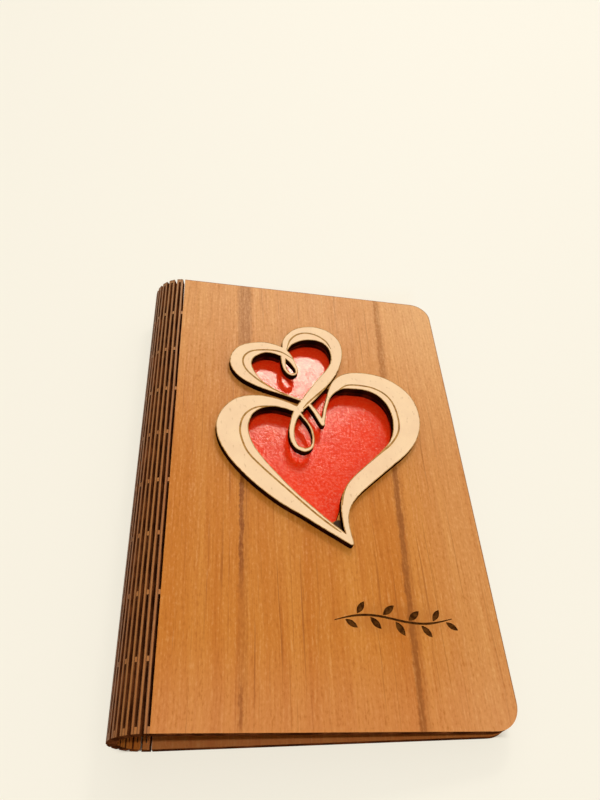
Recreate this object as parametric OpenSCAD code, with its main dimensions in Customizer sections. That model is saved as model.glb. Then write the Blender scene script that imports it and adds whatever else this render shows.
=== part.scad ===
// Wooden greeting card, lying closed on its back cover.
// One laser-cut sheet is bent round a living hinge, so the two covers and the hinge are one piece.
// A fretwork emblem of two entwined hearts is glued on the front cover, over two windows that are
// cut through it, and a glossy red card is glued behind the windows.
// Millimetres. The spine lies along Y on the -X side, and the fore-edge is on the +X side.

/* [Sheet] */
// Length of the card, along its spine
card_length = 178; // [120:1:240]
// Width of each cover, from the hinge's outermost slit to the fore-edge
cover_width = 108.5; // [96:0.5:160]
// Thickness of the sheet
sheet_thickness = 3; // [1.5:0.1:4]
// Radius of the two corners at each cover's fore-edge
corner_radius = 8; // [2:0.5:20]

/* [Living hinge] */
// Outer radius of the bend
bend_radius = 11.3; // [10:0.1:16]
// Slope of the front cover, down towards its fore-edge
cover_slope = 7.5; // [4:0.1:7.6]
// Fingers that share the bend between them
fingers = 21; // [13:2:23]
// Width of a finger between two slits
finger_width = 0.86; // [0.4:0.02:0.9]
// Bridge places along the spine, counted as equal spans
bridge_spans = 9; // [5:2:13]
// Length of a bridge along the spine
bridge_length = 1.5; // [0.8:0.1:4]
// Length of the bridges that close a slit at an end of the spine
end_bridge_length = 1.8; // [0.8:0.1:5]
// Sideways pull of a finger towards the neighbour that it is bridged to
finger_pull = 0.1; // [0:0.01:0.15]
// How far a bridge's faces lie below the sheet's faces
bridge_inset = 0.06; // [0.02:0.01:0.2]

/* [Heart emblem] */
// Height of the emblem, from the big heart's tip to the small heart's top
emblem_height = 99; // [80:1:110]
// Thickness of the emblem
emblem_thickness = 2.5; // [1:0.1:4]
// From the emblem's top to the card's far end
emblem_margin = 22.6; // [12:0.1:50]
// How far a window's edge lies back under the emblem
window_setback = 1; // [0.2:0.1:1.5]

/* [Red card] */
// Thickness of the red card
red_card_thickness = 0.4; // [0.2:0.1:1]

/* [Hidden] */
$fn = 48;

// How far a cutting tool runs past the faces that it cuts
overrun = 1;
// Straight steps that stand for each span of a curve
curve_steps = 4;

// Hinge: each finger lies on a tangent of the bend, and turns by the same angle from the one before
bend_angle = 180 + cover_slope;
finger_angle = bend_angle / fingers;
middle_radius = bend_radius - sheet_thickness / 2;
finger_pitch = 2 * middle_radius * tan(finger_angle / 2);
slit_width = finger_pitch - finger_width;
// From the bend's axis to a finger's outer face, whose furthest corner lies on the bend's outer circle
finger_reach = sqrt(bend_radius ^ 2 - (finger_width / 2 + finger_pull) ^ 2);
// From the point where the bend ends to the cover's own edge
cover_start = slit_width / 2;
bridge_span = card_length / bridge_spans;

// The bend's axis, placed so that the box of the whole card is centred on the origin
fore_edge_reach = bend_radius * sin(cover_slope) + (cover_start + cover_width) * cos(cover_slope);
bend_x = (bend_radius - fore_edge_reach) / 2;

// Drawing of the emblem: it fits a box 79 wide and 99 high, with X from the middle and Y from the tip
drawing_width = 79;
drawing_height = 99;
drawing_scale = emblem_height / drawing_height;

// The pen strokes of the two hearts, as [x, y, width] along each stroke
small_heart_left = [
    [-6.6, 59.2, 0.9], [-12.4, 61.1, 0.9], [-17.2, 62.9, 1.5], [-23.2, 65.8, 3.4], [-28.4, 70.6, 6.9],
    [-30.7, 76, 8.5], [-28.6, 81.4, 8], [-22.4, 84.6, 5.9], [-17.6, 84.5, 5], [-14.3, 83.2, 4.6],
    [-12, 81.3, 3.4], [-10.2, 78.4, 2.2], [-8.8, 75.1, 1.2], [-8.8, 72.7, 0.9], [-10.7, 71.8, 0.9]
];
small_heart_curl = [
    [-9.6, 71.9, 0.8], [-11, 71.8, 0.9], [-12.8, 73.6, 1.2], [-13.6, 76.6, 1.6], [-13.8, 80.6, 2]
];
small_heart_right = [
    [-13, 84.4, 2], [-11.8, 88.6, 4.2], [-9.2, 91.8, 5.8], [-5.6, 94.2, 7], [-0.5, 95.1, 7.6],
    [3.9, 93.9, 7.5], [6.9, 91, 6.7], [8.2, 87, 5.5], [8.2, 83, 4.6], [7.3, 79, 4.1], [5.2, 74.6, 4.4],
    [1.4, 69, 4.8], [-2.3, 63.6, 4.5], [-5.7, 58.9, 3.8], [-8.2, 55.6, 3], [-9.9, 52.4, 2.6],
    [-11.1, 48.9, 2.1], [-11.8, 44.9, 2], [-11.5, 40.9, 1.9], [-9.9, 37.8, 1.6], [-7.1, 36.8, 1.5]
];
tail_loop = [
    [-8.6, 37, 1.4], [-7, 36.8, 1.5], [-4.7, 38.3, 1.1], [-3.8, 41.9, 0.8], [-4.2, 45.8, 0.8],
    [-5.5, 49, 0.8], [-7.5, 52, 0.9], [-8.8, 54.2, 0.9]
];
big_heart_left = [
    [-7.8, 54.8, 2.2], [-10.2, 55.3, 2.9], [-14, 56.7, 3.5], [-18.7, 57.6, 4.3], [-24.6, 56.9, 6.8],
    [-30.1, 53.7, 9.8], [-33.3, 47.6, 11.5], [-33.2, 41.6, 11.5], [-30.5, 35, 10.5], [-25.9, 28.7, 9.6],
    [-20.9, 23.3, 8.7], [-14.9, 17.6, 7.2], [-8.2, 12.5, 5.3], [-1.8, 7.5, 3.8], [3.6, 3.6, 2.8],
    [6.7, 0.9, 1.6]
];
big_heart_notch = [[-4.9, 58.4, 1.2], [-2.2, 54.2, 1.8], [0.2, 49.2, 1.9]];
big_heart_right = [
    [0.1, 49, 1.6], [0.9, 52.6, 1.3], [1.7, 56.6, 1.2], [3.2, 61.6, 1.4], [5.1, 65.6, 3], [8.2, 69.2, 5.6],
    [12.8, 71.2, 8], [19.5, 71.5, 9], [26.4, 69.2, 10.4], [31.9, 63.4, 11.8], [33.7, 55.4, 11.4],
    [32.3, 47.6, 9.8], [28.8, 41.2, 7.9], [24, 36.1, 6.9], [19, 31.3, 6.5], [13.1, 25.7, 6.2],
    [9.3, 21.5, 5.6], [6.8, 17.2, 4.4], [5.6, 12.9, 3], [5.4, 9.1, 2.3], [5.8, 5.1, 2.1], [6.8, 0.9, 1.5]
];
STROKES = [
    small_heart_left, small_heart_curl, small_heart_right, tail_loop,
    big_heart_left, big_heart_notch, big_heart_right
];
// Points of the strokes where a window follows them: up to the small heart's notch, from there down
// to the foot of the diagonal, along the diagonal's other side, and round the big heart
notch_point = 9;
diagonal_top = 11;
diagonal_foot = 14;
right_lobe_start = 5;
right_side_end = 17;
left_side_end = 13;
// The big window's own tip, which stops short of the strokes' meeting
window_tip = [2.9, 10.4];

// A point between b and c on the smooth curve through a, b, c and d
function between(a, b, c, d, t) =
    (2 * b + (c - a) * t + (2 * a - 5 * b + 4 * c - d) * t ^ 2 + (3 * b - a - 3 * c + d) * t ^ 3) / 2;

// The smooth curve through a list of points, with their widths
function smooth(p) = [
    for (i = [0 : len(p) - 2])
        for (s = [0 : curve_steps - 1])
            between(p[max(i - 1, 0)], p[i], p[i + 1], p[min(i + 2, len(p) - 1)], s / curve_steps),
    p[len(p) - 1]
];

function part_of(list, first, last) = [for (i = [first : last]) list[i]];

function reversed(list) = [for (i = [len(list) - 1 : -1 : 0]) list[i]];

// Direction of a curve at its point i
function heading(c, i) =
    let (d = c[min(i + 1, len(c) - 1)] - c[max(i - 1, 0)])
    [d.x, d.y] / norm([d.x, d.y]);

// One edge of a stroke, at its left for side 1 or its right for side -1, moved in by an inset that
// goes no further than the stroke's middle
function stroke_edge(c, side, inset = 0) = [
    for (i = [0 : len(c) - 1])
        let (h = heading(c, i), half = c[i].z / 2)
        [c[i].x, c[i].y] + side * (half - min(inset, half)) * [-h.y, h.x]
];

// Half a circle round a stroke's end, from the edge at one side of the heading h to the other
function round_end(p, h) = [
    for (s = [1 : curve_steps - 1])
        let (a = 90 - 180 * s / curve_steps)
        [p.x, p.y] + p.z / 2 * [h.x * cos(a) - h.y * sin(a), h.y * cos(a) + h.x * sin(a)]
];

// A whole stroke: its left edge, its far end, its right edge and its near end
function stroke_outline(c) =
    let (last = len(c) - 1)
    concat(
        stroke_edge(c, 1),
        round_end(c[last], heading(c, last)),
        reversed(stroke_edge(c, -1)),
        round_end(c[0], -heading(c, 0))
    );

// Points first to last of a stroke, as an edge of a window under it
function window_edge(p, side, first, last) =
    stroke_edge(
        part_of(smooth(p), first * curve_steps, last * curve_steps),
        side,
        window_setback / drawing_scale
    );

small_window = concat(
    window_edge(small_heart_left, -1, 0, notch_point),
    window_edge(small_heart_right, -1, 0, diagonal_foot - 1)
);
big_window = concat(
    window_edge(big_heart_right, -1, right_lobe_start, right_side_end),
    [window_tip],
    reversed(window_edge(big_heart_left, 1, 1, left_side_end)),
    reversed(window_edge(small_heart_right, 1, diagonal_top, diagonal_foot))
);

// Places a shape that is drawn flat at the bottom of the bend on the tangent at an angle round it
module on_bend(angle) {
    translate([bend_x, 0, bend_radius])
        rotate([0, angle, 0])
            translate([0, 0, -bend_radius])
                children();
}

// Places a shape on the front cover: X from the cover's hinge edge, Y from its near end, Z outwards
// from its outer face
module on_front() {
    translate([bend_x, 0, bend_radius])
        rotate([0, cover_slope, 0])
            translate([cover_start, -card_length / 2, bend_radius])
                children();
}

// Places the emblem's drawing on the front cover
module on_drawing() {
    translate([cover_width / 2, card_length - emblem_margin - emblem_height])
        scale(drawing_scale)
            children();
}

// Outline of a cover, with its fore-edge corners rounded
module cover_outline() {
    inner_x = cover_width - corner_radius;
    union() {
        square([inner_x, card_length]);
        translate([inner_x, corner_radius])
            square([corner_radius, card_length - 2 * corner_radius]);
        for (y = [corner_radius, card_length - corner_radius])
            translate([inner_x, y])
                circle(r = corner_radius);
    }
}

// One finger of the hinge: a strip that zigzags between the neighbours that it is bridged to
module finger(index) {
    pull = [for (k = [0 : bridge_spans]) finger_pull * ((index + k) % 2 == 0 ? -1 : 1)];
    places = [for (k = [0 : bridge_spans]) (k - bridge_spans / 2) * bridge_span];
    left = [for (k = [0 : bridge_spans]) [pull[k] - finger_width / 2, places[k]]];
    right = [for (k = [0 : bridge_spans]) [pull[k] + finger_width / 2, places[k]]];
    linear_extrude(sheet_thickness)
        polygon(concat(right, reversed(left)));
}

// The bridges of one slit column, reaching half a finger into the strip on each side
module bridges(column) {
    width = slit_width + finger_width;
    for (k = [0 : bridge_spans])
        if ((column + k) % 2 == 1) {
            at_end = k == 0 || k == bridge_spans;
            length = at_end ? end_bridge_length : bridge_length;
            middle = (k - bridge_spans / 2) * bridge_span;
            start = k == 0 ? middle : k == bridge_spans ? middle - length : middle - length / 2;
            translate([-width / 2, start, bridge_inset])
                cube([width, length, sheet_thickness - 2 * bridge_inset]);
        }
}

// The living hinge, counted from the back cover: fingers on the bend's tangents, bridges between them
module living_hinge() {
    for (i = [0 : fingers - 1])
        on_bend((i + 0.5) * finger_angle)
            translate([0, 0, bend_radius - finger_reach])
                finger(i);
    for (column = [0 : fingers])
        on_bend(column * finger_angle)
            bridges(column);
}

// The one-piece cover: back cover, living hinge and front cover with its two windows
module cover() {
    color("peru") {
        translate([bend_x + cover_start, -card_length / 2, 0])
            linear_extrude(sheet_thickness)
                cover_outline();
        living_hinge();
        on_front()
            difference() {
                translate([0, 0, -sheet_thickness])
                    linear_extrude(sheet_thickness)
                        cover_outline();
                translate([0, 0, -sheet_thickness - overrun])
                    linear_extrude(sheet_thickness + 2 * overrun)
                        on_drawing() {
                            polygon(small_window);
                            polygon(big_window);
                        }
            }
    }
}

// The fretwork emblem of two entwined hearts, lying on the front cover
module heart_emblem() {
    color("wheat")
        on_front()
            linear_extrude(emblem_thickness)
                on_drawing()
                    for (stroke = STROKES)
                        polygon(stroke_outline(smooth(stroke)));
}

// The glossy red card, as large as the emblem's box, against the front cover's inner face
module red_card() {
    color("crimson")
        on_front()
            translate([0, 0, -sheet_thickness - red_card_thickness])
                linear_extrude(red_card_thickness)
                    on_drawing()
                        translate([-drawing_width / 2, 0])
                            square([drawing_width, drawing_height]);
}

cover();
heart_emblem();
red_card();
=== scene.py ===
"""Looks of a wooden greeting card that lies closed on a pale table.

The card is one laser-cut sheet of veneered board, bent round a living hinge. A pale fretwork emblem of
two entwined hearts is glued on its front, over windows that are backed by glossy red card.
Lengths are written in millimetres and turned into metres where they are used.
"""

import math

import bmesh
import bpy
from mathutils import Matrix, Vector


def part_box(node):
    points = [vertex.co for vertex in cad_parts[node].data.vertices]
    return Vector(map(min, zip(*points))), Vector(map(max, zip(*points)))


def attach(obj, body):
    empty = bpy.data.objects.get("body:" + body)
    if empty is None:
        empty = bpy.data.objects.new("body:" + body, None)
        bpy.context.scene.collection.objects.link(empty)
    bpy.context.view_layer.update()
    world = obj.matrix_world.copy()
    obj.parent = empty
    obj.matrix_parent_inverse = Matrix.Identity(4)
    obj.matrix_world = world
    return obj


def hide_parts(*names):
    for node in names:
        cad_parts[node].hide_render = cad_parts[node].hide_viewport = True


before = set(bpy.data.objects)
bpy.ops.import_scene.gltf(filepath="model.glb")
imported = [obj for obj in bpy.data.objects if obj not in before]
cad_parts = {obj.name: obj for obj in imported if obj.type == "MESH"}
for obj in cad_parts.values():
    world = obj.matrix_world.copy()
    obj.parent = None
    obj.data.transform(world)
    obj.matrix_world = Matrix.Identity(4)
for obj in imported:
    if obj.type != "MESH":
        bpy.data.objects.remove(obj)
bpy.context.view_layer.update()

MM = 0.001

# Sizes of the sheet, as the frame has them
SHEET = 3
BEND_RADIUS = 11.3
SLOPE = math.radians(7.5)
FINGERS = 21
FINGER_WIDTH = 0.86
EMBLEM = 2.5
COVER_WIDTH = 108.5
CORNER_RADIUS = 8
cover_low, cover_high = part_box("cover")
LENGTH = (cover_high.y - cover_low.y) / MM
FINGER_ANGLE = (math.pi + SLOPE) / FINGERS
FINGER_PITCH = 2 * (BEND_RADIUS - SHEET / 2) * math.tan(FINGER_ANGLE / 2)
OUTER_PITCH = FINGER_ANGLE * BEND_RADIUS
COVER_START = (FINGER_PITCH - FINGER_WIDTH) / 2
BEND_X = cover_low.x / MM + BEND_RADIUS
HINGE_ARC = BEND_RADIUS * (math.pi + SLOPE)

# The front cover's own frame: X from its hinge edge, Y from its near end, Z out of its outer face
FRONT = (
    Matrix.Translation((BEND_X * MM, 0, BEND_RADIUS * MM))
    @ Matrix.Rotation(SLOPE, 4, "Y")
    @ Matrix.Translation((COVER_START * MM, -LENGTH / 2 * MM, BEND_RADIUS * MM))
)
FRONT_INVERSE = FRONT.inverted()
FRONT_NORMAL = (FRONT.to_3x3() @ Vector((0, 0, 1))).normalized()


def srgb(red, green, blue):
    """A linear RGBA colour from screen values of 0 to 255."""
    def linear(value):
        value /= 255
        return value / 12.92 if value <= 0.04045 else ((value + 0.055) / 1.055) ** 2.4
    return (linear(red), linear(green), linear(blue), 1)


# Shader building

class Nodes:
    """Short ways to add nodes to a node tree."""

    def __init__(self, tree):
        self.nodes = tree.nodes
        self.links = tree.links

    def put(self, socket, value):
        """Gives a socket a value, or links another node's output to it."""
        if isinstance(value, bpy.types.NodeSocket):
            self.links.new(value, socket)
        else:
            socket.default_value = value

    def add(self, kind, inputs=(), **settings):
        node = self.nodes.new(kind)
        for key, value in settings.items():
            setattr(node, key, value)
        for key, value in dict(inputs).items():
            self.put(node.inputs[key], value)
        return node

    def math(self, operation, first, second=0.0, third=0.0):
        inputs = {0: first, 1: second, 2: third}
        return self.add("ShaderNodeMath", inputs, operation=operation).outputs[0]

    def product(self, first, *others):
        for other in others:
            first = self.math("MULTIPLY", first, other)
        return first

    def centred(self, noise, width):
        """A noise of 0 to 1, spread over a width about zero."""
        return self.math("MULTIPLY_ADD", noise, width, -width / 2)

    def ramp(self, value, low, high, start=0.0, end=1.0):
        """A smooth step from start to end as a value goes from low to high."""
        inputs = {"Value": value, "From Min": low, "From Max": high, "To Min": start, "To Max": end}
        node = self.add("ShaderNodeMapRange", inputs, interpolation_type="SMOOTHSTEP")
        return node.outputs["Result"]

    def mix(self, factor, first, second):
        inputs = {"Factor": factor, "A": first, "B": second}
        return self.add("ShaderNodeMix", inputs, data_type="RGBA").outputs["Result"]

    def stretch(self, vector, scale, shift=(0, 0, 0)):
        """A vector times a scale for each axis, moved by a shift."""
        inputs = {0: vector, 1: scale, 2: shift}
        return self.add("ShaderNodeVectorMath", inputs, operation="MULTIPLY_ADD").outputs[0]

    def noise(self, vector, scale=1.0, detail=2.0, roughness=0.5):
        inputs = {"Vector": vector, "Scale": scale, "Detail": detail, "Roughness": roughness}
        return self.add("ShaderNodeTexNoise", inputs).outputs["Fac"]


class Shader(Nodes):
    """A material in the making."""

    def __init__(self, name):
        self.material = bpy.data.materials.new(name)
        self.material.use_nodes = True
        super().__init__(self.material.node_tree)
        self.bsdf = self.nodes["Principled BSDF"]
        self.output = self.nodes["Material Output"]

    def own_place(self):
        """A point's place on its object, in metres."""
        return self.add("ShaderNodeTexCoord").outputs["Object"]

    def surface(self, values):
        for key, value in values.items():
            self.put(self.bsdf.inputs[key], value)

    def bump(self, height, strength, distance):
        inputs = {"Height": height, "Strength": strength, "Distance": distance * MM}
        self.surface({"Normal": self.add("ShaderNodeBump", inputs).outputs["Normal"]})


# Values that a noise mostly stays between
NOISE_SPAN = (0.3, 0.7)

# Veneer

# Place of a point on the flat sheet, which the veneer's grain follows round the bend
SHEET_PLACE = "sheet_place"

# Layers of the grain: how fine each one is across and along, its shift and its weight
GRAIN = [
    ((1.2, 0.02, 1), (0, 0, 0), 0.3),
    ((1.4, 0.14, 1), (31, 9, 0), 0.3),
    ((1.3, 0.65, 1), (53, 27, 0), 0.4),
]

# How fine the veneer's other patterns are across and along, and how far the grain and the streaks stray
SWAY_SCALE = (0.03, 0.012, 1)
BAND_SCALE = (0.14, 0.004, 1)
FIGURE_SCALE = (0.5, 0.012, 1)
LINE_SCALE = (0.9, 0.014, 1)
LINE_SHIFT = (17, 5, 0)
WANDER_SCALE = (0.3, 0.3, 1)
SWAY = 4.0
WANDER = 2.4

# Tints of the veneer
BAND_TINTS = (srgb(198, 116, 30), srgb(208, 132, 48))
FIGURE_TINT = srgb(188, 104, 24)
# Painted sheen: the paler tint where the lights reflect, towards the far end and the fore-edge
PAINTED_SHEEN_TINT = srgb(230, 174, 114)
# Painted highlight along the front cover's near end
NEAR_END_HIGHLIGHT_TINT = srgb(224, 152, 104)
LIGHT_TINT = srgb(234, 172, 104)
# Painted sheen on the light grain
PAINTED_SHEEN_GRAIN_TINT = srgb(255, 214, 150)
DARK_TINT = srgb(174, 92, 12)
LINE_TINT = srgb(150, 76, 8)
RIM_TINT = srgb(112, 70, 36)
CHAR_TINT = srgb(52, 26, 14)

# Where a tint sets in: the values between which it grows, and its share before and after. The values are
# those of a noise, or places on the sheet
FIGURE_SHARE = (0.4, 0.75, 0, 0.5)
# Painted sheen: where it grows along and across the sheet
PAINTED_SHEEN_ALONG = (80, LENGTH, 0, 0.45)
PAINTED_SHEEN_ACROSS = (72, 106, 0, 0.34)
# Painted highlight: where it fades along from the near end
NEAR_END_HIGHLIGHT_ALONG = (30, 0, 0, 0.25)
FRONT_ONLY = (-1, 1)
LIGHT_SHARE = (0.5, 0.64, 0, 0.32)
DARK_SHARE = (0.5, 0.36, 0, 0.58)
LINE_SHARE = (0.58, 0.7, 0, 0.55)
STREAK_BREAKS = (0.62, 0.42, 0.55, 1)
RIM_SHARE = (-0.5, -0.05, 0, 0.7)
RIM_START = (1, 12)

# How much of the dark grain fades under the painted sheen
DARK_FADING = 0.5

# Gloss of the veneer: its roughness over the grain's tone, and its specular level
VENEER_ROUGHNESS = (0.4, 0.6, 0.48, 0.38)
VENEER_SPECULAR = 0.18

# Dark streaks in the veneer, by their place on the sheet: the line's start across and its slope along,
# half the width, where the streak fades in and out along the grain, its depth and its colour
STREAKS = [
    ((77.5, 0.0385), 1.35, (-40, 10, 80, 130), 0.7, srgb(128, 66, 10)),
    ((77.2, 0.0385), 1.6, (70, 130, 178, 300), 0.72, srgb(166, 98, 16)),
    ((78.2, 0.034), 2.6, (-60, 0, 110, 190), 0.3, srgb(154, 82, 18)),
    ((24.2, 0.004), 0.95, (36, 54, 80, 118), 0.88, srgb(122, 58, 2)),
    ((24.4, 0.004), 0.6, (-2, 4, 9, 16), 0.6, srgb(140, 70, 14)),
    ((24.8, 0.006), 2.2, (-20, 20, 110, 150), 0.3, srgb(150, 78, 18)),
    ((25.6, 0.0), 3.6, (110, 150, 178, 230), 0.6, srgb(146, 86, 34)),
]

# Share of a streak's width where it is full
STREAK_CORE = 0.45

# Marks on the front: soot with painted shade in the deep, narrow corner at the big window's tip, and a
# smoky halo round the engraving.
# For each: the middle, the reach across and along, the share of the reach where the mark is full, its depth
# and its colour
SMOKE_AND_SHADE_MARKS = [
    # Soot with painted shade in the deep corner at the big window's tip
    ((57.9, 64.6), (2.8, 2.8), 0.7, 0.95, srgb(34, 14, 3)),
    ((73.2, 33.0), (25, 7), 0.3, 0.3, srgb(160, 92, 26)),
]

# Smoky staining on the hinge's outside, with painted shade that deepens towards the spine, and painted
# shade between the covers on the sheet's inside: the share at the front cover and at the spine
SPINE_SMOKE_AND_SHADE = (0.4, 0.56)
# Painted shade between the covers on the sheet's inside
INSIDE_SHADE = (0.4, 0.4)

# Char along the fingers' edges: where it sets in and where it ends, from the finger's middle, and its share
CHAR_EDGE = (0.12, 0.38)
CHAR_END = (0.56, 0.46)
CHAR_DEPTH = 0.62


def swayed_place(shader, place, axes):
    """A place on the sheet, moved a little across, so that the grain isn't quite straight."""
    sway = shader.centred(shader.noise(shader.stretch(place, SWAY_SCALE), detail=2), SWAY)
    swayed = shader.math("ADD", axes.outputs["X"], sway)
    spot = {"X": swayed, "Y": axes.outputs["Y"], "Z": axes.outputs["Z"]}
    return shader.add("ShaderNodeCombineXYZ", spot).outputs["Vector"]


def grain_tone(shader, grain_place):
    """The layers of the grain, added up into one tone."""
    tone = 0.0
    for scale, shift, weight in GRAIN:
        layer = shader.noise(shader.stretch(grain_place, scale, shift), detail=3, roughness=0.6)
        tone = shader.math("MULTIPLY_ADD", layer, weight, tone)
    return tone


def clean_veneer(shader, across, along, grain_place, tone):
    """Colour of the veneer with its painted sheen and painted highlight, before streaks, soot, painted
    shade and char.
    """
    bands = shader.noise(shader.stretch(grain_place, BAND_SCALE), detail=3, roughness=0.55)
    figure = shader.noise(shader.stretch(grain_place, FIGURE_SCALE), detail=4, roughness=0.6)
    lines = shader.noise(shader.stretch(grain_place, LINE_SCALE, LINE_SHIFT), detail=3, roughness=0.6)
    colour = shader.mix(shader.ramp(bands, *NOISE_SPAN), *BAND_TINTS)
    colour = shader.mix(shader.ramp(figure, *FIGURE_SHARE), colour, FIGURE_TINT)

    # The sheet is paler towards its ends and its fore-edge. Towards the far end and the fore-edge this is
    # painted sheen, where the lights reflect on the veneer
    pale = shader.math("ADD", shader.ramp(along, *PAINTED_SHEEN_ALONG), shader.ramp(across, *PAINTED_SHEEN_ACROSS))
    # Painted highlight: the front cover is paler along its near end
    near_end_highlight = shader.product(shader.ramp(along, *NEAR_END_HIGHLIGHT_ALONG), shader.ramp(across, *FRONT_ONLY))
    colour = shader.mix(pale, colour, PAINTED_SHEEN_TINT)
    colour = shader.mix(near_end_highlight, colour, NEAR_END_HIGHLIGHT_TINT)

    # Under the painted sheen, the light grain is lighter, and the dark grain and the long lines are fainter
    light = shader.ramp(tone, *LIGHT_SHARE)
    colour = shader.mix(light, colour, LIGHT_TINT)
    colour = shader.mix(shader.product(light, pale), colour, PAINTED_SHEEN_GRAIN_TINT)
    dark = shader.ramp(tone, *DARK_SHARE)
    fainter = shader.math("MULTIPLY_ADD", pale, -DARK_FADING, 1.0)
    colour = shader.mix(shader.product(dark, fainter), colour, DARK_TINT)
    dark = shader.ramp(lines, *LINE_SHARE)
    fainter = shader.math("SUBTRACT", 1.0, pale)
    return shader.mix(shader.product(dark, fainter), colour, LINE_TINT)


def streak(shader, across, along, line, half_width, reach):
    """A dark mineral streak: strong on a line across = start + slope * along, and only in a reach."""
    start, slope = line
    offset = shader.math("SUBTRACT", across, shader.math("MULTIPLY_ADD", along, slope, start))
    core = shader.ramp(shader.math("ABSOLUTE", offset), half_width, STREAK_CORE * half_width)
    fade_in, full, still_full, fade_out = reach
    return shader.product(core, shader.ramp(along, fade_in, full), shader.ramp(along, fade_out, still_full))


def add_streaks(shader, colour, place, across, along, tone):
    """Lays the streaks over a colour. Their lines wander, and the grain breaks them up."""
    wander = shader.noise(shader.stretch(place, WANDER_SCALE), detail=4, roughness=0.7)
    wandering = shader.math("ADD", across, shader.centred(wander, WANDER))
    broken = shader.ramp(tone, *STREAK_BREAKS)
    for line, half_width, reach, depth, tint in STREAKS:
        share = streak(shader, wandering, along, line, half_width, reach)
        colour = shader.mix(shader.product(share, broken, depth), colour, tint)
    return colour


def add_smoke_and_shade_marks(shader, colour, place):
    """Lays soot with painted shade on the sheet's deep, narrow corner at the big window's tip, and a smoky
    halo round the engraving.
    """
    for middle, reach, full, depth, tint in SMOKE_AND_SHADE_MARKS:
        scale = [1 / r for r in reach]
        shift = [-m / r for m, r in zip(middle, reach)]
        near = shader.stretch(place, (*scale, 0), (*shift, 0))
        away = shader.add("ShaderNodeVectorMath", {0: near}, operation="LENGTH").outputs["Value"]
        colour = shader.mix(shader.ramp(away, 1, full, 0, depth), colour, tint)
    return colour


def edge_distance(shader, across, along):
    """How far a place on the sheet lies inside the sheet's outline, as a value below zero."""
    left = -2 * COVER_START - HINGE_ARC - COVER_WIDTH
    reach = []
    for value, low, high in ((across, left, COVER_WIDTH), (along, 0, LENGTH)):
        from_middle = shader.math("ABSOLUTE", shader.math("SUBTRACT", value, (low + high) / 2))
        reach.append(shader.math("SUBTRACT", from_middle, (high - low) / 2 - CORNER_RADIUS))
    outside = [shader.math("MAXIMUM", value, 0) for value in reach]
    squares = [shader.math("MULTIPLY", value, value) for value in outside]
    corner = shader.math("SQRT", shader.math("ADD", *squares))
    straight = shader.math("MINIMUM", shader.math("MAXIMUM", *reach), 0)
    return shader.math("SUBTRACT", shader.math("ADD", corner, straight), CORNER_RADIUS)


def edge_rim(shader, across, along):
    """Share of a thin scorched line along the sheet's own edges, which fades out at the near end."""
    rim = shader.ramp(edge_distance(shader, across, along), *RIM_SHARE)
    return shader.product(rim, shader.ramp(along, *RIM_START))


def finger_char(shader, across):
    """Share of the char along the long edges of the fingers."""
    turned = shader.math("DIVIDE", shader.math("ADD", across, COVER_START), -OUTER_PITCH)
    off_middle = shader.math("SUBTRACT", shader.math("FRACT", turned), 0.5)
    off_middle = shader.product(shader.math("ABSOLUTE", off_middle), OUTER_PITCH)
    return shader.product(shader.ramp(off_middle, *CHAR_EDGE), shader.ramp(off_middle, *CHAR_END))


def veneer(name, smoke_and_shade=(0, 0), smoke_and_shade_tint=None, char_depth=0):
    """Warm veneer with its grain along the spine. A darkening goes by a share at the front cover and one at
    the
    spine: on the hinge's outside it is smoky staining with painted shade that deepens towards the spine, on
    the sheet's inside painted shade between the covers. Char darkens the long edges of the fingers."""
    shader = Shader(name)
    place = shader.add("ShaderNodeAttribute", attribute_name=SHEET_PLACE).outputs["Vector"]
    axes = shader.add("ShaderNodeSeparateXYZ", {"Vector": place})
    across, along = axes.outputs["X"], axes.outputs["Y"]
    grain_place = swayed_place(shader, place, axes)
    tone = grain_tone(shader, grain_place)

    colour = clean_veneer(shader, across, along, grain_place, tone)
    colour = add_streaks(shader, colour, place, across, along, tone)
    colour = add_smoke_and_shade_marks(shader, colour, place)
    colour = shader.mix(edge_rim(shader, across, along), colour, RIM_TINT)
    # Smoky staining with painted shade on the hinge, and painted shade alone on the inside
    if max(smoke_and_shade) > 0:
        at_cover, at_spine = smoke_and_shade
        share = shader.ramp(across, 0, -HINGE_ARC / 2, at_cover, at_spine)
        colour = shader.mix(share, colour, smoke_and_shade_tint)
    if char_depth > 0:
        colour = shader.mix(shader.product(finger_char(shader, across), char_depth), colour, CHAR_TINT)

    shader.surface({
        "Base Color": colour,
        "Roughness": shader.ramp(tone, *VENEER_ROUGHNESS),
        "Specular IOR Level": VENEER_SPECULAR,
    })
    shader.bump(tone, strength=0.25, distance=0.05)
    return shader.material


# The other materials

# How fine their patterns are, in waves for each metre
EDGE_PATCHES = 180
EDGE_LINES = (2600, 2600, 260)
BOARD_MOTTLING = 90
BOARD_FIBRES = (900, 420, 900)
SCORCH_PATCHES = 700
CARD_PEEL = 1150
CARD_WAVES = 45
CARD_TONES = 130

# Their tints, and where a tint sets in on a noise
BOARD_TINTS = (srgb(243, 205, 160), srgb(250, 215, 170))
FIBRE_TINT = srgb(206, 160, 112)
CARD_TINTS = (srgb(236, 46, 9), srgb(244, 54, 14))
# Painted sheen: lighter specks where the orange peel catches the light
PEEL_SHEEN_TINT = srgb(255, 86, 40)
CARD_SHEEN = (1.0, 0.92, 0.74, 1)
EDGE_PATCH_SHARE = (0.35, 0.75)
EDGE_LINE_SHARE = (0.45, 0.75, 0, 0.4)
FIBRE_SHARE = (0.6, 0.74, 0, 0.5)
SCORCH_SHARE = (0.35, 0.7)
# Where the painted sheen specks set in
PEEL_SHEEN_SHARE = (0.42, 0.64, 0, 0.4)
PEEL_SPECULAR = (0.42, 0.58, 0.2, 0.7)

# Height of the red card's waves, for each unit of its orange peel
WAVE_HEIGHT = 2.5


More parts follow.
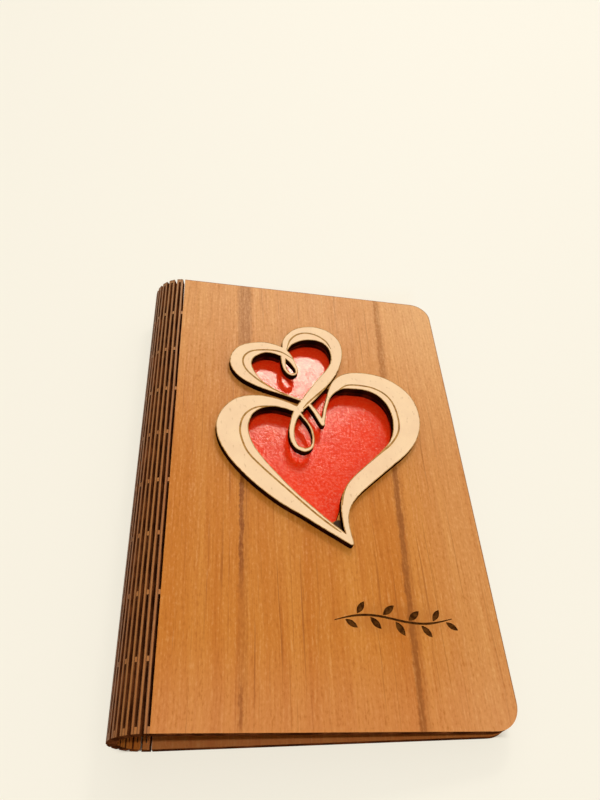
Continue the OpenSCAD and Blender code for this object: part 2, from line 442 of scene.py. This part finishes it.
def burnt_edge(name, deep, warm):
    """The scorched wall of a laser cut: near black, with warm brown patches and fine upright lines."""
    shader = Shader(name)
    place = shader.own_place()
    patches = shader.noise(place, EDGE_PATCHES, detail=3)
    lines = shader.noise(shader.stretch(place, EDGE_LINES), detail=2)
    colour = shader.mix(shader.ramp(patches, *EDGE_PATCH_SHARE), deep, warm)
    colour = shader.mix(shader.ramp(lines, *EDGE_LINE_SHARE), colour, deep)
    shader.surface({
        "Base Color": colour,
        "Roughness": shader.ramp(lines, *NOISE_SPAN, 0.7, 0.9),
        "Specular IOR Level": 0,
    })
    shader.bump(lines, strength=0.3, distance=0.04)
    return shader.material


def pale_board(name):
    """Pale fibreboard: creamy, with faint mottling and fine brown fibres."""
    shader = Shader(name)
    place = shader.own_place()
    mottling = shader.noise(place, BOARD_MOTTLING, detail=4, roughness=0.6)
    fibres = shader.noise(shader.stretch(place, BOARD_FIBRES), detail=3, roughness=0.6)
    colour = shader.mix(shader.ramp(mottling, *NOISE_SPAN), *BOARD_TINTS)
    colour = shader.mix(shader.ramp(fibres, *FIBRE_SHARE), colour, FIBRE_TINT)
    shader.surface({
        "Base Color": colour,
        "Roughness": shader.ramp(mottling, *NOISE_SPAN, 0.6, 0.75),
    })
    shader.bump(fibres, strength=0.15, distance=0.03)
    return shader.material


def scorch(name, light, dark):
    """A scorched line: a scored or engraved one, or the rim of a cut."""
    shader = Shader(name)
    patches = shader.noise(shader.own_place(), SCORCH_PATCHES, detail=3)
    shader.surface({
        "Base Color": shader.mix(shader.ramp(patches, *SCORCH_SHARE), light, dark),
        "Roughness": shader.ramp(patches, *NOISE_SPAN, 0.7, 0.85),
        "Specular IOR Level": 0,
    })
    shader.bump(patches, strength=0.2, distance=0.03)
    return shader.material


def glossy_card(name):
    """Glossy red card with a slight orange peel and uneven flatness, and lighter specks of painted sheen
    where the peel catches the light.
    """
    shader = Shader(name)
    place = shader.own_place()
    peel = shader.noise(place, CARD_PEEL, detail=2.5, roughness=0.7)
    waves = shader.noise(place, CARD_WAVES, detail=1)
    tone = shader.noise(place, CARD_TONES, detail=3)
    colour = shader.mix(shader.ramp(tone, *NOISE_SPAN), *CARD_TINTS)
    # Painted sheen: lighter specks on the orange peel
    colour = shader.mix(shader.ramp(peel, *PEEL_SHEEN_SHARE), colour, PEEL_SHEEN_TINT)
    shader.surface({
        "Base Color": colour,
        "Roughness": shader.ramp(peel, *NOISE_SPAN, 0.14, 0.2),
        "Specular IOR Level": shader.ramp(peel, *PEEL_SPECULAR),
        "Specular Tint": CARD_SHEEN,
    })
    height = shader.math("MULTIPLY_ADD", waves, WAVE_HEIGHT, peel)
    shader.bump(height, strength=0.9, distance=0.05)
    return shader.material


# Shapes

# Share of a line's width that is left at its ends
END_WIDTH = 0.35

# How far a cutter rises above the face that it cuts
CUTTER_RISE = 1

# Corners closer than this are one
JOIN_DISTANCE = 0.0005

# Walls that meet at a larger angle keep a sharp edge
SHARP_ANGLE = math.radians(30)


def smooth_curve(points, steps=6):
    """The smooth curve through points, with a few straight steps for each span."""
    last = len(points) - 1
    curve = []
    for i in range(last):
        a, b = Vector(points[max(i - 1, 0)]), Vector(points[i])
        c, d = Vector(points[i + 1]), Vector(points[min(i + 2, last)])
        for s in range(steps):
            t = s / steps
            curve.append((2 * b + (c - a) * t + (2 * a - 5 * b + 4 * c - d) * t ** 2
                          + (3 * b - a - 3 * c + d) * t ** 3) / 2)
    curve.append(Vector(points[last]))
    return curve


def ribbon_outline(curve, width, taper):
    """Left and right edges of a line that narrows over its first and last few steps."""
    left, right = [], []
    last = len(curve) - 1
    for i, point in enumerate(curve):
        heading = (curve[min(i + 1, last)] - curve[max(i - 1, 0)]).normalized()
        from_end = min(i, last - i, taper) / taper
        half = width / 2 * (END_WIDTH + (1 - END_WIDTH) * from_end)
        side = Vector((-heading.y, heading.x)) * half
        left.append(point + side)
        right.append(point - side)
    return left, right


def add_prism(mesh, left, right, low, high):
    """Adds a closed strip between two edges on the front cover, from one height to another, to a mesh."""
    rings = []
    for a, b in zip(left, right):
        corners = [(a.x, a.y, low), (b.x, b.y, low), (b.x, b.y, high), (a.x, a.y, high)]
        rings.append([mesh.verts.new(FRONT @ (Vector(c) * MM)) for c in corners])
    for first, second in zip(rings, rings[1:]):
        for k in range(4):
            mesh.faces.new((first[k], second[k], second[(k + 1) % 4], first[(k + 1) % 4]))
    mesh.faces.new(rings[0])
    mesh.faces.new(rings[-1][::-1])


def object_from(mesh, name):
    bmesh.ops.recalc_face_normals(mesh, faces=mesh.faces)
    data = bpy.data.meshes.new(name)
    mesh.to_mesh(data)
    mesh.free()
    made = bpy.data.objects.new(name, data)
    bpy.context.scene.collection.objects.link(made)
    return made


def solid_copy(node, name):
    """A copy of a CAD node's bare shape with its corners joined into one closed surface."""
    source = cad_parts[node].data
    mesh = bmesh.new()
    points = [mesh.verts.new(vertex.co) for vertex in source.vertices]
    for face in source.polygons:
        mesh.faces.new([points[i] for i in face.vertices])
    bmesh.ops.remove_doubles(mesh, verts=mesh.verts, dist=JOIN_DISTANCE * MM)
    return object_from(mesh, name)


def cut(piece, cutter):
    """Takes a cutter out of a piece, and deletes the cutter."""
    modifier = piece.modifiers.new("cut", "BOOLEAN")
    modifier.operation = "DIFFERENCE"
    modifier.solver = "EXACT"
    modifier.object = cutter
    depsgraph = bpy.context.evaluated_depsgraph_get()
    result = bpy.data.meshes.new_from_object(piece.evaluated_get(depsgraph))
    piece.modifiers.clear()
    old = piece.data
    piece.data = result
    bpy.data.meshes.remove(old)
    bpy.data.objects.remove(cutter)


def finish_faces(piece, materials, choose):
    """Gives each face the material that choose names, and smooth shading within curved walls."""
    names = list(materials)
    chosen = [names.index(choose(face)) for face in piece.data.polygons]
    piece.data.materials.clear()
    for key in names:
        piece.data.materials.append(materials[key])
    for face, index in zip(piece.data.polygons, chosen):
        face.material_index = index
        face.use_smooth = True
    piece.data.set_sharp_from_angle(angle=SHARP_ANGLE)


# The emblem, with the lines scored along its strokes

# Middle of the emblem's width and its tip on the front cover, and its scored lines from there
EMBLEM_PLACE = Vector((54.25, 56.4))
SCORE_LINES = {
    "small_left": [
        (-9.9, 80), (-14.9, 83.2), (-21.3, 83.4), (-27, 81.8), (-29.7, 77.9), (-28.8, 72.9),
        (-24.2, 67.9), (-17.7, 63.6), (-12, 60.7),
    ],
    "small_right": [
        (-12.2, 84.7), (-10.6, 90), (-7.4, 93.6), (-3.4, 94.9), (0.9, 94), (4.5, 91.1), (6.3, 87.2),
    ],
    "diagonal": [(7.3, 72.5), (3, 67.2), (-1.3, 62.5), (-4.8, 58.6), (-7, 55.7)],
    "big_left": [
        (-16.6, 55.5), (-19.2, 55.4), (-24.9, 54.3), (-29.2, 50.4), (-30.8, 44.3), (-29.8, 38.6),
        (-27.5, 33.6), (-22.2, 27.7), (-14.2, 20), (-9.2, 15.2), (-4.2, 10.6), (0.8, 6.5), (3.4, 4.6),
    ],
    "big_right": [
        (6.7, 65), (10.9, 68.6), (15.9, 69.3), (21.7, 68.6), (26.7, 65.7), (29.5, 60.7), (30.4, 53.6),
        (29.5, 47.9), (25.9, 42.2), (20.9, 37.5), (14.5, 31.5), (8.8, 25.7), (5.9, 20.7), (4.7, 15),
    ],
}
SCORE_WIDTH = 0.7
SCORE_DEPTH = 0.06
SCORE_TAPER = 6
RIM_WIDTH = 0.3

# Material slot that marks the rim until the faces get their materials
RIM_SLOT = 1

# A face lies flat on the front cover when the cosine between their normals is above this
FLAT = 0.9

# Walls whose middle is above this height belong to the scored lines
SCORED_ABOVE = EMBLEM - 0.6 * SCORE_DEPTH


def emblem_height(point):
    return (FRONT_INVERSE @ point).z / MM


def add_burnt_rim(piece):
    """Parts a thin rim from the emblem's top, and marks its faces."""
    mesh = bmesh.new()
    mesh.from_mesh(piece.data)
    mesh.normal_update()
    top = [
        face for face in mesh.faces
        if face.normal.dot(FRONT_NORMAL) > FLAT
        and emblem_height(face.calc_center_median()) > EMBLEM / 2
    ]
    inset = bmesh.ops.inset_region(mesh, faces=top, thickness=RIM_WIDTH * MM, use_boundary=True)
    for face in inset["faces"]:
        face.material_index = RIM_SLOT
    mesh.to_mesh(piece.data)
    mesh.free()


def score_cutter():
    mesh = bmesh.new()
    for points in SCORE_LINES.values():
        curve = [EMBLEM_PLACE + p for p in smooth_curve(points)]
        left, right = ribbon_outline(curve, SCORE_WIDTH, SCORE_TAPER)
        add_prism(mesh, left, right, EMBLEM - SCORE_DEPTH, EMBLEM + CUTTER_RISE)
    return object_from(mesh, "score_cutter")


def emblem_material(face):
    """Which of the emblem's materials a face gets."""
    height = emblem_height(face.center)
    facing = face.normal.dot(FRONT_NORMAL)
    if facing > FLAT:
        if height < EMBLEM - SCORE_DEPTH / 2:
            return "score"
        return "rim" if face.material_index == RIM_SLOT else "face"
    if facing < -FLAT:
        return "face"
    return "edge" if height < SCORED_ABOVE else "score"


def make_emblem():
    materials = {
        "face": pale_board("pale_board_face"),
        "rim": scorch("pale_board_burnt_rim", srgb(206, 158, 98), srgb(158, 108, 54)),
        "score": scorch("scored_line", srgb(192, 142, 76), srgb(148, 102, 46)),
        "edge": burnt_edge("pale_board_burnt_edge", srgb(28, 11, 3), srgb(62, 28, 10)),
    }
    piece = solid_copy("heart_emblem", "hearts_fretwork")
    for material in materials.values():
        piece.data.materials.append(material)
    add_burnt_rim(piece)
    cut(piece, score_cutter())
    finish_faces(piece, materials, emblem_material)
    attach(piece, "root")
    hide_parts("heart_emblem")


# The cover, with a sprig of leaves engraved on its front

SPRIG_START = Vector((53.5, 32.2))
SPRIG_LENGTH = 39
SPRIG_WAVE = 1.5
SPRIG_RISE = 1.2
STEM_WIDTH = 0.75
STEM_STEPS = 48
STEM_TAPER = 10
ENGRAVED_DEPTH = 0.3

# Leaves: how many, their size, how they stand off the stem, and how round they are
SPRIG_LEAVES = 9
LEAF_LENGTH = 5.2
LEAF_WIDTH = 2.2
LEAF_STEPS = 10
LEAF_ANGLE = math.radians(48)
LEAF_GAP = 1.1 * STEM_WIDTH
LEAF_ROUNDNESS = 0.8
LEAF_END = 0.06

# Where the leaves sit on the stem, in leaves: before the first one, and what is left over at the end
FIRST_LEAF = 0.7
LEAVES_OVER = 0.4

# The leaves shrink away from the biggest one's place on the stem
BIGGEST_LEAF = 0.45
LEAF_SHRINKING = 0.35

# Share of the stem over which its heading is measured, to either side
HEADING_STEP = 0.01

# Lean of the fingers next to a cover, for each unit of depth, and where they are from the bend's ends
LEAN = 0.17
BACK_LEAN = 0.18
FIRST_LEANING = 0.03 * OUTER_PITCH
LAST_LEANING = 2 * OUTER_PITCH

# A point belongs to a cover, not to the bend, down to this depth below the cover's outer face
COVER_REACH = 1.5 * SHEET

# A face is a cut's wall when the cosine between its normal and the sheet's outward way is below this
WALL = 0.8

# Faces whose middle is farther than this past the front cover's hinge edge belong to the hinge
FACE_MARGIN = 0.01


def stem_point(share):
    rise = SPRIG_WAVE * math.sin(2 * math.pi * share) + SPRIG_RISE * share
    return SPRIG_START + Vector((SPRIG_LENGTH * share, rise))


def leaf_outline(share, side):
    """Left and right edges of a leaf at a share of the stem, on one side of it."""
    size = 1 - LEAF_SHRINKING * abs(share - BIGGEST_LEAF)
    heading = stem_point(share + HEADING_STEP) - stem_point(share - HEADING_STEP)
    angle = math.atan2(heading.y, heading.x) + side * LEAF_ANGLE
    along = Vector((math.cos(angle), math.sin(angle)))
    aside = Vector((-along.y, along.x))
    root = stem_point(share) + along * LEAF_GAP
    left, right = [], []
    for k in range(LEAF_STEPS + 1):
        t = k / LEAF_STEPS
        half = LEAF_WIDTH * size / 2 * max(math.sin(math.pi * t) ** LEAF_ROUNDNESS, LEAF_END)
        middle = root + along * LEAF_LENGTH * size * t
        left.append(middle + aside * half)
        right.append(middle - aside * half)
    return left, right


def sprig_cutter():
    mesh = bmesh.new()
    stem = [stem_point(i / STEM_STEPS) for i in range(STEM_STEPS + 1)]
    outlines = [ribbon_outline(stem, STEM_WIDTH, STEM_TAPER)]
    for i in range(SPRIG_LEAVES):
        share = (i + FIRST_LEAF) / (SPRIG_LEAVES + LEAVES_OVER)
        side = 1 if i % 2 else -1
        outlines.append(leaf_outline(share, side))
    for left, right in outlines:
        add_prism(mesh, left, right, -ENGRAVED_DEPTH, CUTTER_RISE)
    return object_from(mesh, "sprig_cutter")


def on_sheet(point):
    """Place of a point on the flat sheet, in millimetres: across from the front cover's hinge edge, along
    from the near end, and the depth below the outer face. Also the sheet's outward direction there."""
    x, y, z = point.x / MM - BEND_X, point.y / MM + LENGTH / 2, point.z / MM - BEND_RADIUS
    front = FRONT_INVERSE @ point / MM
    if front.x > -COVER_START and front.z > -COVER_REACH:
        return Vector((front.x, y, -front.z)), FRONT_NORMAL
    if x > 0 and z + BEND_RADIUS < COVER_REACH:
        return Vector((-COVER_START - HINGE_ARC - x, y, z + BEND_RADIUS)), Vector((0, 0, -1))
    # The angle counts from the front cover's end of the bend, and may be a little below zero there
    angle = (math.atan2(-x, z) + SLOPE + FINGER_ANGLE) % (2 * math.pi) - FINGER_ANGLE
    radius = math.hypot(x, z)
    turned = angle * BEND_RADIUS
    return Vector((-COVER_START - turned, y, BEND_RADIUS - radius)), Vector((x / radius, 0, z / radius))


def lean_fingers(piece):
    """Leans the two fingers next to each cover, so that the camera sees no light through their slits. At
    the front cover their inner sides move towards it. At the back cover their outer sides do, less and
    less away from it."""
    for vertex in piece.data.vertices:
        spot, outward = on_sheet(vertex.co)
        turned = -COVER_START - spot.x
        towards_front = Vector((outward.z, 0, -outward.x))
        if FIRST_LEANING < turned < LAST_LEANING:
            vertex.co += towards_front * spot.z * LEAN * MM
        elif FIRST_LEANING < HINGE_ARC - turned < LAST_LEANING:
            share = 1 - (HINGE_ARC - turned) / LAST_LEANING
            vertex.co -= towards_front * (SHEET - spot.z) * BACK_LEAN * share * MM


def cover_material(face):
    """Which of the cover's materials a face gets."""
    spot, outward = on_sheet(face.center)
    facing = face.normal.dot(outward)
    if abs(facing) < WALL:
        return "edge"
    if facing < 0:
        return "inside"
    if spot.x > 0 and ENGRAVED_DEPTH / 2 < spot.z < SHEET / 2:
        return "engraved"
    in_hinge = -2 * COVER_START - HINGE_ARC < spot.x < -FACE_MARGIN
    return "smoked_and_shaded" if in_hinge else "face"


def make_cover():
    piece = solid_copy("cover", "card_sheet")
    lean_fingers(piece)
    cut(piece, sprig_cutter())
    place = piece.data.attributes.new(SHEET_PLACE, "FLOAT_VECTOR", "POINT")
    for vertex, item in zip(piece.data.vertices, place.data):
        item.vector = on_sheet(vertex.co)[0]
    materials = {
        "face": veneer("veneer_face"),
        # Smoky staining with painted shade that deepens towards the spine; its grey tint is also painted
        # sheen on the fingers
        "smoked_and_shaded": veneer("veneer_smoked_and_shaded", SPINE_SMOKE_AND_SHADE, srgb(116, 86, 72), CHAR_DEPTH),
        # Painted shade: the sheet's inside is darkened for the shade between the covers
        "inside": veneer("veneer_inside_painted_shade", INSIDE_SHADE, srgb(120, 46, 20)),
        "edge": burnt_edge("veneer_burnt_edge", srgb(70, 32, 12), srgb(136, 75, 38)),
        "engraved": scorch("engraved_line", srgb(96, 56, 20), srgb(54, 26, 6)),
    }
    finish_faces(piece, materials, cover_material)
    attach(piece, "root")
    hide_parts("cover")


def finish_red_card():
    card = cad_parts["red_card"]
    card.data.materials.clear()
    card.data.materials.append(glossy_card("glossy_red_card"))


# Stage, light and camera

CAMERA_PLACE = (-22.39, -133.41, 224.57)
CAMERA_TURN = (38.02, -3.77, -2.78)
CAMERA_LENS = 31.0
CAMERA_SENSOR = 36.0
CAMERA_CLIP = 10

# The room: its tint, the way to its window side and how far that spreads, its level away from the window
# and towards it, and the level of the wall that the camera sees
ROOM_TINT = (1.0, 0.975, 0.94, 1)
WINDOW_SIDE = (0.55, 0.65, 0.5)
WINDOW_SPREAD = (-0.3, 0.9)
ROOM_LOW = 0.12
ROOM_HIGH = 0.7
WALL_LEVEL = 0.92

# Lights: the place, the point that they face, the size, the power and the colour
LIGHTS = {
    "lamp": ((250, 720, 720), (0, 40, 20), (200, 170), 2.6, (1.0, 0.98, 0.94)),
    "far_wall": ((300, 1150, 720), (0, 40, 20), (1200, 450), 2.2, (1.0, 0.95, 0.88)),
    "ceiling": ((-20, -245, 1200), (0, 0, 0), (50, 50), 4.8, (1.0, 0.98, 0.95)),
}

# The table: from its middle to its edge, its tints and roughness, how much paler the camera sees it, and
# where that starts round the card
TABLE_HALF = 3000
TABLE_TINTS = (srgb(246, 240, 224), srgb(248, 242, 226))
TABLE_TONES = 3
TABLE_ROUGHNESS = 0.6
TABLE_GLOW_TINT = srgb(252, 246, 230)
TABLE_GLOW = 0.72
TABLE_BEHIND = 18
TABLE_FADE = 7
NEAR_FADE = 0.6


def clear_of_card(shader, place):
    """1 on the table beside, before and well behind the card, and 0 under it and just behind it."""
    axes = shader.add("ShaderNodeSeparateXYZ", {"Vector": place})
    x, y = axes.outputs["X"], axes.outputs["Y"]
    fade = TABLE_FADE * MM
    behind = cover_high.y + TABLE_BEHIND * MM
    aside = shader.ramp(shader.math("ABSOLUTE", x), cover_high.x - fade, cover_high.x)
    nearer = shader.ramp(y, cover_low.y + NEAR_FADE * MM, cover_low.y)
    farther = shader.ramp(y, behind - fade, behind + fade)
    return shader.math("MAXIMUM", shader.math("MAXIMUM", aside, nearer), farther)


def make_floor():
    mesh = bmesh.new()
    bmesh.ops.create_grid(mesh, x_segments=2, y_segments=2, size=TABLE_HALF * MM)
    floor = object_from(mesh, "table")
    shader = Shader("pale_table")
    place = shader.own_place()
    tone = shader.noise(place, TABLE_TONES, detail=2)
    shader.surface({"Base Color": shader.mix(tone, *TABLE_TINTS), "Roughness": TABLE_ROUGHNESS})
    # The camera sees the table paler than it is lit, so that the card's shadow on it stays faint. Where
    # the hinge's slits show it, the table keeps its own shade
    glow = shader.add("ShaderNodeEmission", {"Color": TABLE_GLOW_TINT, "Strength": 1.0})
    camera_ray = shader.add("ShaderNodeLightPath").outputs["Is Camera Ray"]
    share = shader.product(camera_ray, clear_of_card(shader, place), TABLE_GLOW)
    blend_inputs = {"Fac": share, 1: shader.bsdf.outputs["BSDF"], 2: glow.outputs["Emission"]}
    blend = shader.add("ShaderNodeMixShader", blend_inputs)
    shader.put(shader.output.inputs["Surface"], blend.outputs["Shader"])
    floor.data.materials.append(shader.material)


def make_light(name, place, aim, size, power, colour):
    lamp = bpy.data.lights.new(name, "AREA")
    lamp.shape = "RECTANGLE"
    lamp.size, lamp.size_y = Vector(size) * MM
    lamp.energy = power
    lamp.color = colour
    made = bpy.data.objects.new(name, lamp)
    bpy.context.scene.collection.objects.link(made)
    made.location = Vector(place) * MM
    made.rotation_euler = (Vector(aim) - Vector(place)).to_track_quat("-Z", "Y").to_euler()


def make_world():
    world = bpy.data.worlds.new("soft_room")
    bpy.context.scene.world = world
    world.use_nodes = True
    room = Nodes(world.node_tree)
    # The room is brighter towards its window side than behind the camera
    direction = room.add("ShaderNodeTexCoord").outputs["Generated"]
    sides = {0: direction, 1: Vector(WINDOW_SIDE).normalized()}
    towards_window = room.add("ShaderNodeVectorMath", sides, operation="DOT_PRODUCT").outputs["Value"]
    level = room.ramp(towards_window, *WINDOW_SPREAD, ROOM_LOW, ROOM_HIGH)
    # The camera sees a plain pale wall
    camera_ray = room.add("ShaderNodeLightPath").outputs["Is Camera Ray"]
    seen = room.add("ShaderNodeMix", {"Factor": camera_ray, "A": level, "B": WALL_LEVEL})
    background = room.nodes["Background"]
    room.put(background.inputs["Color"], ROOM_TINT)
    room.put(background.inputs["Strength"], seen.outputs["Result"])


def make_camera():
    data = bpy.data.cameras.new("camera")
    data.sensor_width = CAMERA_SENSOR
    data.lens = CAMERA_LENS
    data.clip_start = CAMERA_CLIP * MM
    camera = bpy.data.objects.new("camera", data)
    bpy.context.scene.collection.objects.link(camera)
    camera.location = Vector(CAMERA_PLACE) * MM
    camera.rotation_euler = [math.radians(angle) for angle in CAMERA_TURN]
    bpy.context.scene.camera = camera


make_camera()
make_world()
for light_name, light in LIGHTS.items():
    make_light(light_name, *light)
make_floor()
make_cover()
make_emblem()
finish_red_card()

bpy.context.scene.view_settings.view_transform = "Standard"
